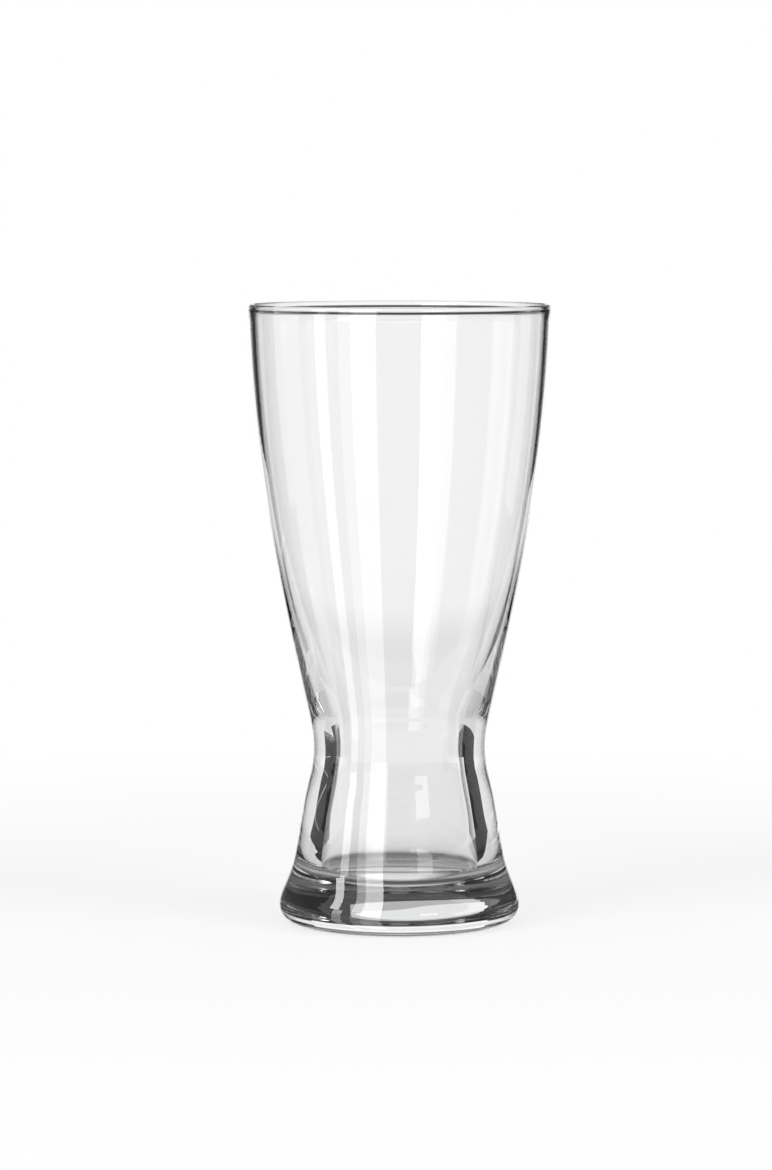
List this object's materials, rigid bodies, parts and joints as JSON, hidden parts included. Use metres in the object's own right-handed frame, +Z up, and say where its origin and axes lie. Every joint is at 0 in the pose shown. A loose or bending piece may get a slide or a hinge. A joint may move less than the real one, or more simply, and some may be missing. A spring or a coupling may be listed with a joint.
{
  "type": "pilsner glass",
  "caption": "Clear waisted beer glass: a tall flared bowl with a rounded lip, pinched to a neck over a short chamber and a thick solid foot that stands flat.",
  "frame": {"origin": "centre of the flat ring that the glass stands on, level with the table", "axes": "+Z up along the glass's axis; the glass is round about +Z, so +X and +Y are any two level directions at right angles"},
  "size_m": [0.0786, 0.0786, 0.1608],
  "materials": {
    "clear_glass": "clear colourless soda-lime glass, fire-polished smooth all over"
  },
  "bodies": {
    "root": {"glass_body": "clear_glass"}
  },
  "joints": []
}
